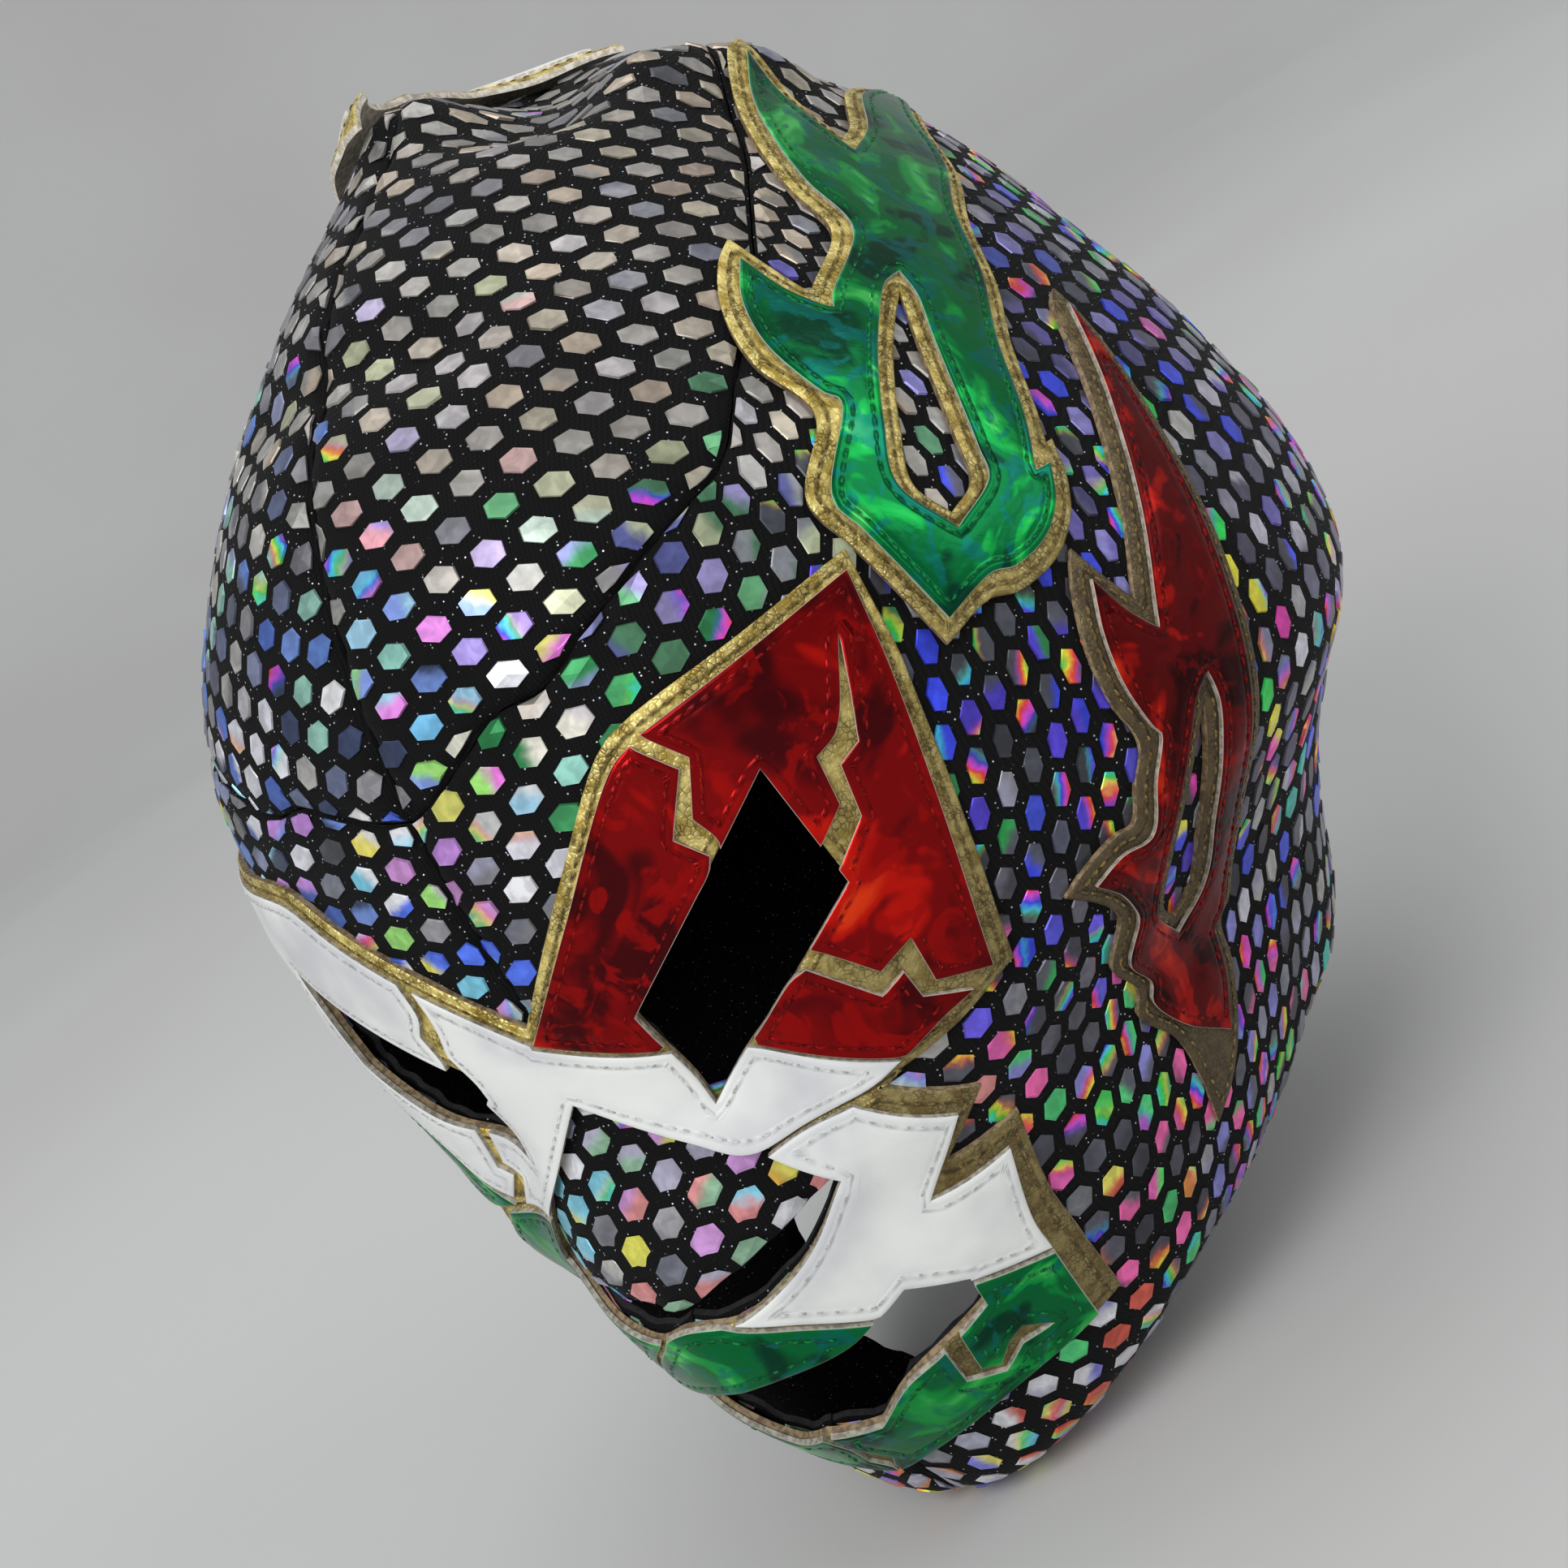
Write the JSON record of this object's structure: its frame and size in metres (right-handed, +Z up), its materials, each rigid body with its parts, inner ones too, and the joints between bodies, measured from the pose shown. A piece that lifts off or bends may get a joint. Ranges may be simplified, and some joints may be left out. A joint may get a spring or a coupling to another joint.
{
  "type": "luchador mask",
  "caption": "Full-head wrestling mask of foil-dotted knit with leather, foil and vinyl surrounds for eyes and mouth and flame appliques; open at the neck and laced behind.",
  "frame": {"origin": "crown seat, the point inside the top of the mask that sits on top of a head", "axes": "+Z up, the wearer looks along -Y, +X to the wearer's left"},
  "size_m": [0.1822, 0.2071, 0.2288],
  "materials": {
    "knit": "black knit with holographic foil hexagons and specks",
    "gold_leather": "crackled metallic gold leather with stitched edge",
    "red_foil": "mirror-like red foil film with cloudy reflections",
    "white_vinyl": "smooth white vinyl, half gloss, stitched edge",
    "green_foil": "mirror-like green foil film with cloudy reflections",
    "lace": "flat black woven lace"
  },
  "bodies": {
    "root": {"crown_left": "knit", "crown_right": "knit", "side_left": "knit", "side_right": "knit", "nose_panel": "knit", "closure_tongue": "knit", "eye_backing": "gold_leather", "mouth_backing": "gold_leather", "green_scroll_backing": "gold_leather", "red_scroll_backing": "gold_leather", "white_scroll_backing": "gold_leather", "red_strip_left": "red_foil", "red_brow_left": "red_foil", "red_low_left": "red_foil", "red_scroll": "red_foil", "white_bridge": "white_vinyl", "white_brow_right": "white_vinyl", "white_cheek_left": "white_vinyl", "white_scroll": "white_vinyl", "green_low_right": "green_foil", "green_cheek_right": "green_foil", "green_lip": "green_foil", "green_jaw_left": "green_foil", "green_jaw_right": "green_foil", "green_scroll": "green_foil", "closure_lace": "lace"}
  },
  "joints": []
}
